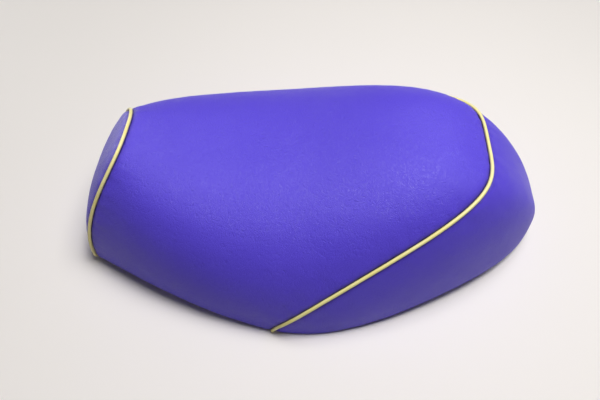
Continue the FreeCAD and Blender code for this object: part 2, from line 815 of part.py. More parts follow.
def derive_sizes():
    derive("pin_bore", size("pin_radius") + size("pin_gap"), "bore round the pin")
    derive("leaf_back", size("leaf_length") - size("leaf_eye"), "leaf end behind the axis")
    derive("leaf_half", size("leaf_width") / 2, "half the leaf's width")
    derive("leaf_inside", size("leaf_width") / 2 - size("leaf_wall"), "inside of its ears")
    derive("leaf_bolt_y", size("leaf_bolt_pitch") / 2, "leaf bolts from the middle")
    inside = size("leaf_width") / 2 + size("side_play") + size("bush_wall")
    outside = inside + size("bracket_wall")
    pad_low, pad_high = pad_heights(hinge_pad())
    derive("ear_inside", inside, "inside of the bracket's ears")
    derive("ear_outside", outside, "outside of the bracket's ears")
    derive("bracket_back", size("bracket_length") - size("eye_radius"), "bracket's rear end")
    derive("bracket_half", hinge_pad()[2], "half the bracket's width")
    derive("bracket_top", pad_low, "upper side of the bracket")
    derive("bracket_drop", pad_low - size("pin_z"), "hinge axis below it")
    derive("bracket_bolt_far", size("bracket_bolt_back") + size("bracket_bolt_pitch"),
           "rear bracket bolts behind the axis")
    derive("backing_low", pad_high, "underside of the backing plate")
    derive("bush_bore", size("pin_radius") + size("pin_gap"), "bush bore")
    derive("bush_outside", size("pin_radius") + size("pin_gap") + size("bush_wall"),
           "bush sleeve radius")
    derive("bush_start", size("leaf_width") / 2 + size("side_play"), "inner face of a bush")
    derive("pin_end", outside + size("side_play"), "underside of the pin's head")
    derive("groove_end", outside + size("side_play") + size("clip_wall"), "clip groove's end")
    derive("pin_tip", outside + size("side_play") + 3 * size("clip_wall"), "pin's end")
    derive("pin_head_end", outside + size("side_play") + size("pin_head_wall"),
           "outside of the pin's head")
    derive("groove_radius", size("pin_radius") - size("groove_depth"), "clip groove")
    pad_low, pad_high = pad_heights(striker_pad())
    derive("striker_half", striker_pad()[2], "half the striker plate's width")
    derive("striker_under", pad_low - size("striker_plate_wall"), "striker plate's underside")
    derive("striker_washer_low", pad_high, "underside of the striker's washers")
    derive("hoop_side", size("striker_legs") / 2, "striker leg from the middle")
    derive("hoop_low", size("striker_wire"), "axis of the striker's bar")
    derive("bumper_foot", size("bumper_radius") - size("bumper_chamfer"), "bumper's foot")
    derive("stem_top", size("bumper_height") + size("stem_length"), "bumper stem's end")
    derive("plug_neck", size("plug_radius") - size("stem_gap"), "plug in its hole")
    derive("plug_height", size("pan_wall") + 2 * size("plug_flange_wall"), "plug height")
    derive("plug_low", deck_underside(0) - size("plug_flange_wall") - size("soft_gap"),
           "plug's lower flange")


def hinge_leaf():
    """Vehicle side of the hinge: bent plate, two ears, two bolt holes."""
    holder = eared_plate("hinge_leaf", "leaf_wall", ("leaf_back", "leaf_half"),
                         ("leaf_half", "leaf_inside"), "leaf_eye", "pin_z")
    drill(holder, "leaf_bore", "XZ_Plane", [("0", "pin_z")], "pin_bore", "2 * leaf_width",
          both=True)
    drill(holder, "leaf_bolt_holes", "XY_Plane",
          [("leaf_bolt_back", "leaf_bolt_y"), ("leaf_bolt_back", "-leaf_bolt_y")],
          "hole_radius", "2 * leaf_wall", up=True)
    place(holder, x="pin_x")
    return finished(holder, "hinge_leaf")


def hinge_bracket():
    """Seat side of the hinge: the same pressing, wider, hanging from the pan."""
    holder = eared_plate("hinge_bracket", "bracket_wall", ("bracket_back", "bracket_half"),
                         ("ear_outside", "ear_inside"), "eye_radius", "bracket_drop")
    drill(holder, "bracket_bore", "XZ_Plane", [("0", "bracket_drop")], "bush_outside",
          "4 * ear_outside", both=True)
    places = [(x, y) for x in ("bracket_bolt_back", "bracket_bolt_far")
              for y in ("bracket_bolt_y", "-bracket_bolt_y")]
    drill(holder, "bracket_bolt_holes", "XY_Plane", places, "hole_radius",
          "2 * bracket_wall", up=True)
    holder.Placement = FreeCAD.Placement(Vector(), FreeCAD.Rotation(Vector(1, 0, 0), 180))
    place(holder, x="pin_x", z="bracket_top")
    return finished(holder, "hinge_bracket")


def hinge_pin():
    """Headed pin with a groove for its retaining clip; it lies across the seat."""
    holder = turned("hinge_pin", [
        ("0", "-pin_head_end"), ("pin_head", "-pin_head_end"), ("pin_head", "-pin_end"),
        ("pin_radius", "-pin_end"), ("pin_radius", "pin_end"), ("groove_radius", "pin_end"),
        ("groove_radius", "groove_end"), ("pin_radius", "groove_end"),
        ("pin_radius", "pin_tip"), ("0", "pin_tip")], role="XY_Plane")
    place(holder, x="pin_x", z="pin_z")
    return finished(holder, "hinge_pin")


def across_pin(item, y):
    """Turn an upright piece so that it lies along the hinge axis from y."""
    item.Placement = FreeCAD.Placement(Vector(), FreeCAD.Rotation(Vector(1, 0, 0), -90))
    return place(item, x="pin_x", y=y, z="pin_z")


def pin_clip():
    """Open spring ring in the pin's groove."""
    disc = across_pin(cylinder("clip_radius", "clip_wall"), "pin_end")
    hole = across_pin(cylinder("groove_radius", "2 * clip_wall"), "pin_end - 0.5 * clip_wall")
    mouth = box("2 * clip_radius", "2 * clip_wall", "1.6 * groove_radius",
                x="pin_x", y="pin_end - 0.5 * clip_wall", z="pin_z - 0.8 * groove_radius")
    return finished(without(disc, hole, mouth), "pin_clip")


def hinge_bushes():
    """Flanged nylon bushes pressed into the bracket's ears."""
    sleeve = across_pin(cylinder("bush_outside", "bush_wall + bracket_wall"), "bush_start")
    flange = across_pin(cylinder("bush_flange", "bush_wall"), "bush_start")
    bore = across_pin(cylinder("bush_bore", "4 * bracket_wall"), "bush_start - bush_wall")
    bush = without(joined(sleeve, flange), bore)
    return group("hinge_bushes", [bush, mirrored(bush)])


def bolt(x, y, under_head, grip):
    """M6 bolt, head up, from the underside of its head."""
    shank_length = f"{grip} + nut_height + bolt_spare"
    shank = cylinder("bolt_radius", f"{shank_length} + 0.5 * head_height", x, y,
                     f"{under_head} - ({shank_length})")
    return joined(shank, hexagon("hex_radius", "head_height", x, y, under_head))


def nut(x, y, under):
    """M6 nut whose upper side sits at a height."""
    blank = hexagon("hex_radius", "nut_height", x, y, f"{under} - nut_height")
    return without(blank, cylinder("bolt_radius", "3 * nut_height", x, y,
                                   f"{under} - 2 * nut_height"))


def bracket_fastenings():
    """Backing plate, bolts and nuts that hold the hinge bracket to the pan."""
    spots = [(f"pin_x + {x}", y) for x in ("bracket_bolt_back", "bracket_bolt_far")
             for y in ("bracket_bolt_y", "-bracket_bolt_y")]
    plate = box("bracket_length", "2 * bracket_half", "backing_wall",
                "pin_x - eye_radius", "-bracket_half", "backing_low")
    holes = [cylinder("hole_radius", "4 * backing_wall", x, y, "backing_low - backing_wall")
             for x, y in spots]
    finished(without(plate, *holes), "backing_plate")
    head = "backing_low + backing_wall"
    grip = "backing_wall + pan_wall + 2 * pad_step + bracket_wall"
    group("bracket_bolts", [bolt(x, y, head, grip) for x, y in spots])
    group("bracket_nuts", [nut(x, y, "bracket_top - bracket_wall") for x, y in spots])


def striker_hoop():
    """Bent wire loop that the seat lock grips."""
    side, low, bend = size("hoop_side"), size("hoop_low"), size("striker_bend")
    top = size("striker_under")
    points = [Vector(0, -side, top), Vector(0, -side, low + bend),
              Vector(0, bend - side, low), Vector(0, side - bend, low),
              Vector(0, side, low + bend), Vector(0, side, top)]
    dip = bend * (1 - math.sqrt(0.5))
    wire = Part.Wire([
        Part.LineSegment(points[0], points[1]).toShape(),
        Part.Arc(points[1], Vector(0, dip - side, low + dip), points[2]).toShape(),
        Part.LineSegment(points[2], points[3]).toShape(),
        Part.Arc(points[3], Vector(0, side - dip, low + dip), points[4]).toShape(),
        Part.LineSegment(points[4], points[5]).toShape()])
    wire.translate(Vector(size("striker_x"), 0, 0))
    section = Part.Circle(wire.Vertexes[0].Point, Vector(0, 0, 1), size("striker_wire"))
    hoop = wire.makePipeShell([Part.Wire([section.toShape()])], True, False)
    return feature("striker_hoop", hoop)


def striker_fastenings():
    """Striker plate with its bolts, washers and nuts."""
    spots = [("striker_x", y) for y in ("striker_bolt_y", "-striker_bolt_y")]
    plate = box("striker_plate_length", "2 * striker_half", "striker_plate_wall",
                "striker_x - 0.5 * striker_plate_length", "-striker_half", "striker_under")
    holes = [cylinder("hole_radius", "4 * striker_plate_wall", x, y,
                      "striker_under - striker_plate_wall") for x, y in spots]
    finished(without(plate, *holes), "striker_plate")
    washers = []
    for x, y in spots:
        disc = cylinder("washer_radius", "washer_wall", x, y, "striker_washer_low")
        hole = cylinder("hole_radius", "4 * washer_wall", x, y,
                        "striker_washer_low - washer_wall")
        washers.append(without(disc, hole))
    group("striker_washers", washers)
    head = "striker_washer_low + washer_wall"
    grip = "washer_wall + pan_wall + 2 * pad_step + striker_plate_wall"
    group("striker_bolts", [bolt(x, y, head, grip) for x, y in spots])
    group("striker_nuts", [nut(x, y, "striker_under") for x, y in spots])


def bumpers(name):
    """Two rubber feet whose stems push up into the pan's posts."""
    foot = turned(f"{name}_bumper", [
        ("0", "0"), ("bumper_foot", "0"), ("bumper_radius", "bumper_chamfer"),
        ("bumper_radius", "bumper_height"), ("stem_radius", "bumper_height"),
        ("stem_radius", "stem_top"), ("0", "stem_top")])
    place(foot, f"{name}_bumper_x", f"{name}_bumper_y")
    return group(f"{name}_bumpers", [foot, mirrored(foot)])


def breather_plugs():
    """Rubber plugs that let the pan breathe but keep spray out."""
    plug = turned("breather_plug", [
        ("0", "0"), ("plug_flange", "0"), ("plug_flange", "plug_flange_wall"),
        ("plug_neck", "plug_flange_wall"), ("plug_neck", "plug_height"), ("0", "plug_height")])
    place(plug, "0", "plug_y", "plug_low")
    return group("breather_plugs", [plug, mirrored(plug)])


def panels():
    """The cover cut along its two seams, and the piping on them."""
    whole = cover()
    front, rear = front_seam(), rear_seam()
    ahead = seam_region(front, -1)
    behind = seam_region(rear, 1)
    feature("front_panel", whole.common(ahead))
    feature("saddle_panel", whole.cut([ahead, behind]))
    feature("rear_panel", whole.common(behind))
    feature("front_piping", piping(front))
    feature("rear_piping", piping(rear))


def check_and_write():
    doc.recompute()
    for item in doc.Objects:
        if "Invalid" in item.State or "Error" in item.State:
            raise RuntimeError(f"{item.Label} failed: {item.State}")
    os.makedirs("parts", exist_ok=True)
    for item in subparts:
        if item.Shape.isNull() or not item.Shape.isValid():
            raise RuntimeError(f"{item.Label} has no sound shape")
        item.Shape.exportStep(f"parts/{item.Label}.step")
        print(item.Label, len(item.Shape.Solids), round(item.Shape.Volume))


subparts = []
derive_places()
doc.recompute()
derive_sizes()
doc.recompute()
feature("seat_pan", pan())
feature("foam_bun", foam_bun())
panels()
feature("cover_staples", cover_staples())
hinge_leaf()
hinge_bracket()
hinge_pin()
pin_clip()
hinge_bushes()
bracket_fastenings()
striker_hoop()
striker_fastenings()
for name in ("front", "side", "rear"):
    bumpers(name)
breather_plugs()
check_and_write()
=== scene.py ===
"""Scooter seat: violet-blue vinyl over foam on a moulded pan, with pale yellow piping.

Metres throughout. X runs from the nose to the tail, Y across, Z up.
"""
import math

import bmesh
import bpy
import numpy as np
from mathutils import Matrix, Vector, kdtree, noise


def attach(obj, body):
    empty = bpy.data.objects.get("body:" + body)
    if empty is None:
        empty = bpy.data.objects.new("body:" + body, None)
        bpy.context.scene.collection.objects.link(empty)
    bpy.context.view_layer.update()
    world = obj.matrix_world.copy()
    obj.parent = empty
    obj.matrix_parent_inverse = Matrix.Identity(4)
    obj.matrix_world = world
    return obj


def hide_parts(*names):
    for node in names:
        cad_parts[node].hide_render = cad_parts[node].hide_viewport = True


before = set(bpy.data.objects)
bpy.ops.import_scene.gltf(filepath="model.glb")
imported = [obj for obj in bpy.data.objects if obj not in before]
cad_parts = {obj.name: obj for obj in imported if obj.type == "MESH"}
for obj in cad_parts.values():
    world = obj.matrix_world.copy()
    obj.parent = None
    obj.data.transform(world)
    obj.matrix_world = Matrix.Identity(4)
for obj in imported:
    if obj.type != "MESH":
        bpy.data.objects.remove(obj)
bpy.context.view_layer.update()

# Vinyl cover. Three panels of soft foam-backed vinyl sewn edge to edge: a small nose panel, the
# long saddle, and a tail panel whose lower corners run far forward. It is pulled tight over the
# bun, its edges roll down into each seam, and its hem is turned in and stapled under the pan.
HALF_LENGTH = 0.285
HALF_WIDTH = 0.170
WIDEST_X = -0.012
NOSE_SEAM_X = -0.2675
NOSE_DEPTH = 0.0175
NOSE_HALF_WIDTH = 0.0835
NOSE_TAPER = 1.63
TAIL_FULLNESS = 0.72
TAIL_PINCH = 0.57
END_SQUARENESS = 2.05
SIDE_SQUARENESS = 2.78
TAIL_SQUARENESS = 3.0
CROWN_SQUARENESS = 1.8
SIDE_WALL = 0.019
LEAN_SETBACK = 0.054
LEAN_REACH = 0.140
VINYL_THICKNESS = 0.0012
LOWER_ROLL = 0.0024
HEM_WIDTH = 0.018
ROLL_TURNS = (0.4, 0.8, 1.2, math.pi / 2)
HEM_REACHES = (0.2, 0.45, 0.72, 1.0)
HEM_EASE = 4
SEAM_DEPTH = 0.0020
SEAM_WIDTH = 0.0024
SEAM_SHADE_WIDTH = 0.0040
SWELL = 0.0004
SWELL_GAP = 0.009
SWELL_WIDTH = 0.006
PUCKER = 0.0014
PUCKER_START = 0.002
PUCKER_REACH = 0.016
PUCKERS_ALONG = 120
PUCKERS_ACROSS = 30
SEAM_LANE = 7.0
SLOW_WAVE = 0.0005
SLOW_WAVES = 17.0
FINE_WAVE = 0.00022
FINE_WAVES = 62.0
VINYL = (0.100, 0.059, 0.700)
# Darker vinyl, used as painted shade in the creases and for weathered patches.
VINYL_WEATHERED_AND_CREASE_SHADE = (0.070, 0.042, 0.56)
# Painted shade: the dark colour laid along each seam.
VINYL_PAINTED_SEAM_SHADE = (0.012, 0.007, 0.09)
COLUMNS = 81
ARCH_STEPS = 400
WALL_STEPS = 8
NOSE_STATIONS = 70
SADDLE_STATIONS = 200
TAIL_STATIONS = 360
SEAM_CROWDING = 0.8


def smooth_line(marks, heights):
    """Smooth curve through some heights at marks, as a function."""
    marks, heights = np.array(marks), np.array(heights)
    steps = np.diff(marks)
    count = len(marks)
    rows, goal = np.eye(count), np.zeros(count)
    for end, part in ((0, slice(0, 4)), (count - 1, slice(-4, None))):
        local = np.polyfit(marks[part], heights[part], 3)
        goal[end] = np.polyval(np.polyder(local), marks[end])
    for i in range(1, count - 1):
        before, after = steps[i - 1], steps[i]
        rows[i, i - 1:i + 2] = after, 2 * (before + after), before
        rises = np.diff(heights[i - 1:i + 2]) / steps[i - 1:i + 1]
        goal[i] = 3 * (after * rises[0] + before * rises[1])
    slopes = np.linalg.solve(rows, goal)

    def line(x):
        mark = np.clip(np.searchsorted(marks, x) - 1, 0, count - 2)
        share = (x - marks[mark]) / steps[mark]
        bend = steps[mark] * (slopes[mark] * (1 - share) - slopes[mark + 1] * share)
        ease = share * share * (3 - 2 * share)
        level = heights[mark] * (1 - ease) + heights[mark + 1] * ease
        return level + share * (1 - share) * bend

    return line


QUARTERS = [HALF_LENGTH * share for share in (-1.0, -0.5, 0.0, 0.5, 1.0)]
RIM_HEIGHTS = (0.007, 0.013, 0.002, 0.014, 0.008)
CROWN_HEIGHTS = (0.152, 0.144, 0.149, 0.197, 0.179)
TAIL_SEAM_HEIGHTS = (0.0, 0.054, 0.101, 0.155)
TAIL_SEAM_X = (-0.0405, 0.0038, 0.0748, 0.1925)
rim_line = smooth_line(QUARTERS, RIM_HEIGHTS)
crown_line = smooth_line(QUARTERS, CROWN_HEIGHTS)
tail_seam_line = smooth_line(TAIL_SEAM_HEIGHTS, TAIL_SEAM_X)


def end_rounding(x):
    """Share of the full height and width that the rounded ends leave at x."""
    nose = max(0.0, (NOSE_SEAM_X - x) / NOSE_DEPTH)
    tail = max(0.0, (x - WIDEST_X) / (HALF_LENGTH - WIDEST_X))
    return max(0.0, 1 - max(nose, tail) ** END_SQUARENESS) ** (1 / END_SQUARENESS)


def half_plan(x):
    """Half the width of the covered seat at x."""
    if x > WIDEST_X:
        share = (x - WIDEST_X) / (HALF_LENGTH - WIDEST_X)
        pinch = 1 - TAIL_PINCH * share ** 2 * (1 - share)
        return HALF_WIDTH * max(0.0, 1 - share ** 2) ** TAIL_FULLNESS * pinch
    share = (WIDEST_X - x) / (WIDEST_X - NOSE_SEAM_X)
    return (HALF_WIDTH - (HALF_WIDTH - NOSE_HALF_WIDTH) * share ** NOSE_TAPER) * end_rounding(x)


def lean_back(x, z):
    """How far the nose leans back at a height."""
    foot = rim_line(NOSE_SEAM_X)
    full_rise = crown_line(NOSE_SEAM_X) - foot
    share = min(1.0, max(0.0, (NOSE_SEAM_X + LEAN_REACH - x) / LEAN_REACH))
    return share ** 2 * LEAN_SETBACK * (np.maximum(0.0, z - foot) / full_rise) ** 2


def seat_section(x):
    """One section of the outside, evenly spaced, from the lower roll over the crown."""
    rounding = end_rounding(x)
    low = rim_line(x)
    wall = SIDE_WALL * rounding
    arch = (crown_line(x) - low) * rounding - wall
    half = half_plan(x)
    across = 2 / (SIDE_SQUARENESS + TAIL_SQUARENESS * max(0.0, x / HALF_LENGTH) ** 2)
    turn = np.linspace(0, math.pi / 2, ARCH_STEPS)
    foot = low + min(LOWER_ROLL, wall / 2)
    upright = np.linspace(foot, low + wall, WALL_STEPS, endpoint=False)
    y = np.concatenate([np.full(WALL_STEPS, half), half * np.abs(np.cos(turn)) ** across])
    z = np.concatenate([upright, low + wall + arch * np.sin(turn) ** (2 / CROWN_SQUARENESS)])
    run = np.concatenate([[0.0], np.cumsum(np.hypot(np.diff(y), np.diff(z)))])
    even = np.linspace(0, run[-1], COLUMNS)
    y, z = np.interp(even, run, y), np.interp(even, run, z)
    y, z = np.concatenate([-y, y[-2::-1]]), np.concatenate([z, z[-2::-1]])
    return np.stack([x + lean_back(x, z), y, z], axis=1)


def hem_columns(edge, side):
    """The roll round the lower edge and the hem turned in under it, on one side."""
    run = np.gradient(edge[:, :2], axis=0)
    inward = np.stack([side * run[:, 1], -side * run[:, 0]], axis=1)
    inward /= np.linalg.norm(inward, axis=1)[:, None]
    roll = edge[:, 2] - rim_line(edge[:, 0])
    found = []
    for turn in ROLL_TURNS:
        point = edge.copy()
        point[:, :2] += inward * (roll * (1 - math.cos(turn)))[:, None]
        point[:, 2] -= roll * math.sin(turn)
        found.append(point)
    for reach in HEM_REACHES:
        point = edge.copy()
        point[:, :2] += inward * (roll + HEM_WIDTH * reach)[:, None]
        point[:, 1] = side * np.maximum(0.0, side * point[:, 1])
        point[:, 2] = rim_line(point[:, 0])
        found.append(point)
    return np.stack(found, axis=1)


def outward(points):
    """Unit normals of a grid that runs nose to tail and from the near side to the far side."""
    normals = np.cross(np.gradient(points, axis=0), np.gradient(points, axis=1))
    lengths = np.linalg.norm(normals, axis=2)[..., None]
    normals = normals / np.maximum(lengths, 1e-12)
    normals[0], normals[-1] = normals[1], normals[-2]
    return normals


nose_turns = np.linspace(math.pi / 2, 0, NOSE_STATIONS, endpoint=False)
tail_turns = np.linspace(0, math.pi / 2, TAIL_STATIONS)
seat_stations = np.concatenate([
    NOSE_SEAM_X - NOSE_DEPTH * np.sin(nose_turns),
    np.linspace(NOSE_SEAM_X, WIDEST_X, SADDLE_STATIONS, endpoint=False),
    WIDEST_X + (HALF_LENGTH - WIDEST_X) * np.sin(tail_turns)])
upper = np.array([seat_section(x) for x in seat_stations])
cover = np.concatenate(
    [hem_columns(upper[:, 0], -1)[:, ::-1], upper, hem_columns(upper[:, -1], 1)], axis=1)
cover_facing = outward(cover)
hem_count = (cover.shape[1] - upper.shape[1]) // 2
nose_row = np.full(cover.shape[1], float(len(nose_turns)))
seam_x = tail_seam_line(np.clip(cover[..., 2], TAIL_SEAM_HEIGHTS[0], TAIL_SEAM_HEIGHTS[-1]))
beyond = cover[..., 0] - seam_x
ahead = beyond < 0
ahead[:, :hem_count] = ahead[:, hem_count:hem_count + 1]
ahead[:, -hem_count:] = ahead[:, -hem_count - 1:-hem_count]
past = np.argmin(ahead, axis=0)
columns = np.arange(cover.shape[1])
step = beyond[past, columns] - beyond[past - 1, columns]
tail_row = past - np.clip(beyond[past, columns] / step, 0, 1)
tail_row[:hem_count], tail_row[-hem_count:] = tail_row[hem_count], tail_row[-hem_count - 1]


def cut(grid, first, last, spread):
    """Part of a grid from one fractional row to another in every column."""
    wanted = first + (last - first) * np.atleast_1d(spread)[:, None]
    row = np.clip(wanted.astype(int), 0, len(grid) - 2)
    part = (wanted - row)[..., None]
    return grid[row, columns] * (1 - part) + grid[row + 1, columns] * part


def finely(points, spacing):
    """A line of points laid again at an even spacing."""
    run = np.concatenate([[0.0], np.cumsum(np.linalg.norm(np.diff(points, axis=0), axis=1))])
    even = np.linspace(0, run[-1], int(run[-1] / spacing) + 1)
    return np.stack([np.interp(even, run, points[:, axis]) for axis in range(3)], axis=1)


nose_seam = cut(cover, nose_row, nose_row, 0.0)[0]
tail_seam = cut(cover, tail_row, tail_row, 0.0)[0]
SEAM_SPACING = 0.0005
seams = []
for line in (nose_seam, tail_seam):
    marks = finely(line, SEAM_SPACING)
    seam = kdtree.KDTree(len(marks))
    for number, mark in enumerate(marks):
        seam.insert(mark, number)
    seam.balance()
    seams.append(seam)


def pulled(point, under):
    """How far the tight vinyl stands in or out at a point, and how much painted shade it gets beside a
    seam.
    """
    lift = SLOW_WAVE * noise.noise(Vector(point) * SLOW_WAVES)
    lift += FINE_WAVE * noise.noise(Vector(point) * FINE_WAVES)
    shade = 0.0
    for seed, seam in enumerate(seams):
        number, gap = seam.find(point)[1:]
        valley = math.exp(-(gap / SEAM_WIDTH) ** 2)
        swell = math.exp(-((gap - SWELL_GAP) / SWELL_WIDTH) ** 2)
        lift += SWELL * swell - SEAM_DEPTH * valley * (1 - under)
        along = number * SEAM_SPACING
        lane = seed * SEAM_LANE
        pucker = noise.noise(Vector((along * PUCKERS_ALONG, lane, gap * PUCKERS_ACROSS)))
        fade = math.exp(-gap / PUCKER_REACH)
        lift += PUCKER * pucker * fade * (1 - math.exp(-gap / PUCKER_START))
        # Painted shade: the colour is darkened in a narrow band along each seam, where the valley
        # beside the piping lies in shade.
        shade = max(shade, math.exp(-(gap / SEAM_SHADE_WIDTH) ** 2))
    return lift * (1 - under), shade


JOIN_WITHIN = 2e-6
SLIVER = 1e-6


def mesh_piece(name, points, faces):
    """A smooth-shaded mesh object, with points that fall together joined."""
    mesh = bpy.data.meshes.new(name)
    mesh.from_pydata([tuple(point) for point in points], [], faces)
    work = bmesh.new()
    work.from_mesh(mesh)
    bmesh.ops.remove_doubles(work, verts=work.verts, dist=JOIN_WITHIN)
    bmesh.ops.dissolve_degenerate(work, edges=work.edges, dist=SLIVER)
    for face in work.faces:
        face.smooth = True
    work.to_mesh(mesh)
    work.free()
    piece = bpy.data.objects.new(name, mesh)
    bpy.context.scene.collection.objects.link(piece)
    return piece


def grid_faces(rows, across):
    """Four-sided faces of a grid of points."""
    corners = (0, across, across + 1, 1)
    return [tuple(row * across + column + corner for corner in corners)
            for row in range(rows - 1) for column in range(across - 1)]


def row_spread(rows, seams_met, direction):
    """Shares from 0 to 1 for the rows of a panel, crowded where it meets its seams."""
    even = np.linspace(0, 1, rows)
    wave = np.sin(seams_met * math.pi * even) / (seams_met * math.pi)
    return even + direction * SEAM_CROWDING * wave


def vinyl_panel(name, first, last, spread):
    """One sewn panel with its seam edges rolled down, its hem and its thickness."""
    points = cut(cover, first, last, spread)
    facing = cut(cover_facing, first, last, spread)
    under = np.ones(points.shape[1])
    under[hem_count:-hem_count] = 0
    under[hem_count - HEM_EASE:hem_count] = np.linspace(1, 0, HEM_EASE + 2)[1:-1]
    under[-hem_count:-hem_count + HEM_EASE] = np.linspace(0, 1, HEM_EASE + 2)[1:-1]
    for row in range(points.shape[0]):
        for column in range(points.shape[1]):
            lift = pulled(points[row, column], under[column])[0]
            points[row, column] += facing[row, column] * lift
    rows, across = points.shape[:2]
    piece = mesh_piece(name, points.reshape(-1, 3), grid_faces(rows, across))
    # Painted shade along the seams, kept on each point for the material.
    shades = piece.data.attributes.new("seam_shade", "FLOAT", "POINT")
    for vertex in piece.data.vertices:
        shades.data[vertex.index].value = pulled(vertex.co, 0.0)[1]
    layer = piece.modifiers.new("vinyl_thickness", "SOLIDIFY")
    layer.thickness = VINYL_THICKNESS
    layer.offset = -1
    return piece


def new_node(tree, kind, **values):
    """A shader node with some of its settings or open inputs set by name."""
    made = tree.nodes.new("ShaderNode" + kind)
    for name, value in values.items():
        label = name.replace("_", " ")
        if label in made.inputs:
            made.inputs[label].default_value = value
        else:
            setattr(made, name, value)
    return made


def finish(name, colour, roughness, metallic=0.0):
    """A material, its node tree and its main shader."""
    material = bpy.data.materials.new(name)
    material.use_nodes = True
    tree = material.node_tree
    shader = tree.nodes["Principled BSDF"]
    shader.inputs["Base Color"].default_value = (*colour, 1)
    shader.inputs["Roughness"].default_value = roughness
    shader.inputs["Metallic"].default_value = metallic
    return material, tree, shader


def span(tree, source, low, high, start=0.0, end=1.0):
    """A value brought from start..end to low..high."""
    ranged = new_node(tree, "MapRange")
    for label, value in (("From Min", start), ("From Max", end), ("To Min", low), ("To Max", high)):
        ranged.inputs[label].default_value = value
    tree.links.new(source, ranged.inputs["Value"])
    return ranged.outputs["Result"]


def blend(tree, factor, first, second):
    """Colour between two colours or two colour sockets."""
    mixed = new_node(tree, "MixRGB")
    tree.links.new(factor, mixed.inputs["Fac"])
    for label, colour in (("Color1", first), ("Color2", second)):
        if isinstance(colour, tuple):
            mixed.inputs[label].default_value = (*colour, 1)
        else:
            tree.links.new(colour, mixed.inputs[label])
    return mixed.outputs["Color"]


def relief(tree, height, distance, strength=1.0, under=None):
    """Surface relief from a height, laid over another relief if one is given."""
    bump = new_node(tree, "Bump", Strength=strength, Distance=distance)
    tree.links.new(height, bump.inputs["Height"])
    if under is not None:
        tree.links.new(under, bump.inputs["Normal"])
    return bump.outputs["Normal"]


def place(tree):
    """Position on the piece, which stays with it when it moves."""
    return new_node(tree, "TexCoord").outputs["Object"]


def cloud(tree, where, scale, detail=3.0, roughness=0.55):
    """Soft random variation."""
    made = new_node(tree, "TexNoise", Scale=scale, Detail=detail, Roughness=roughness)
    tree.links.new(where, made.inputs["Vector"])
    return made


def leather_grain(tree, fine, long):
    """Heights of pressed leather grain: small rounded cells, and longer wandering creases."""
    where = place(tree)
    cells = new_node(tree, "TexVoronoi", feature="DISTANCE_TO_EDGE", Scale=fine)
    tree.links.new(where, cells.inputs["Vector"])
    folds = cloud(tree, where, long, detail=3.0, roughness=0.6)
    folds.noise_type = "RIDGED_MULTIFRACTAL"
    folds.inputs["Distortion"].default_value = 0.7
    return (span(tree, cells.outputs["Distance"], 0.0, 1.0, 0.0, 0.3),
            span(tree, folds.outputs["Fac"], 1.0, 0.0, 0.0, 1.6))


vinyl, tree, shader = finish("violet_vinyl", VINYL, roughness=0.42)
pores, creases = leather_grain(tree, fine=800.0, long=230.0)
weather = cloud(tree, place(tree), scale=11.0, detail=4.0)
# Painted shade: the colour is darkened in the wandering creases. Random weathered patches then take the
# same darker colour.
colour = blend(tree, span(tree, creases, 0.45, 0.0), VINYL, VINYL_WEATHERED_AND_CREASE_SHADE)
colour = blend(tree, span(tree, weather.outputs["Fac"], 0.0, 0.24, 0.35, 0.7), colour, VINYL_WEATHERED_AND_CREASE_SHADE)
# Painted shade: the vinyl is darkened along each seam, where the valley beside the piping is in shade.
painted_seam_shade_mask = new_node(tree, "Attribute", attribute_name="seam_shade")
colour = blend(tree, painted_seam_shade_mask.outputs["Fac"], colour, VINYL_PAINTED_SEAM_SHADE)
tree.links.new(colour, shader.inputs["Base Color"])
tree.links.new(span(tree, weather.outputs["Fac"], 0.31, 0.42, 0.3, 0.7), shader.inputs["Roughness"])
shader.inputs["Specular IOR Level"].default_value = 0.30
deep = relief(tree, creases, distance=0.0007, strength=0.8)
tree.links.new(relief(tree, pores, distance=0.00025, strength=0.7, under=deep), shader.inputs["Normal"])

nose_spread = row_spread(rows=70, seams_met=1, direction=1)
saddle_spread = row_spread(rows=210, seams_met=2, direction=-1)
tail_spread = row_spread(rows=150, seams_met=1, direction=-1)
for name, node, first, last, spread in (
        ("vinyl_nose", "front_panel", 0.0, nose_row, nose_spread),
        ("vinyl_saddle", "saddle_panel", nose_row, tail_row, saddle_spread),
        ("vinyl_tail", "rear_panel", tail_row, len(cover) - 1.0, tail_spread)):
    piece = vinyl_panel(name, first, last, spread)
    piece.data.materials.append(vinyl)
    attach(piece, "seat")
    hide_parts(node)

# Piping. A cord wrapped in pale yellow vinyl, sewn into each seam so that half of it stands
# proud. At both ends it is pulled round the lower edge and flattened under the hem.
BEAD_RADIUS = 0.0020
BEAD_LIFT = 0.0007
BEAD_END_RADIUS = 0.0014
BEAD_TURNS = 16
BEAD_TUCK = 6
BEAD_SPACING = 0.0016
BEAD_WANDER = 0.00016
BEAD_BENDS = 55
BEND_LANE = 3.0
BEAD_UNEVEN = 0.045
BEAD_SWELLINGS = 170
SWELLING_LANE = 9.0
BEAD_TIP = 0.55
BEAD_TIP_RISE = 0.25
HEM_CLEARANCE = 0.0001
PIPING = (0.97, 0.85, 0.28)
PIPING_PALE = (0.98, 0.90, 0.42)
# Painted shade in the piping's creases.
PIPING_CREASE_SHADE = (0.74, 0.61, 0.20)


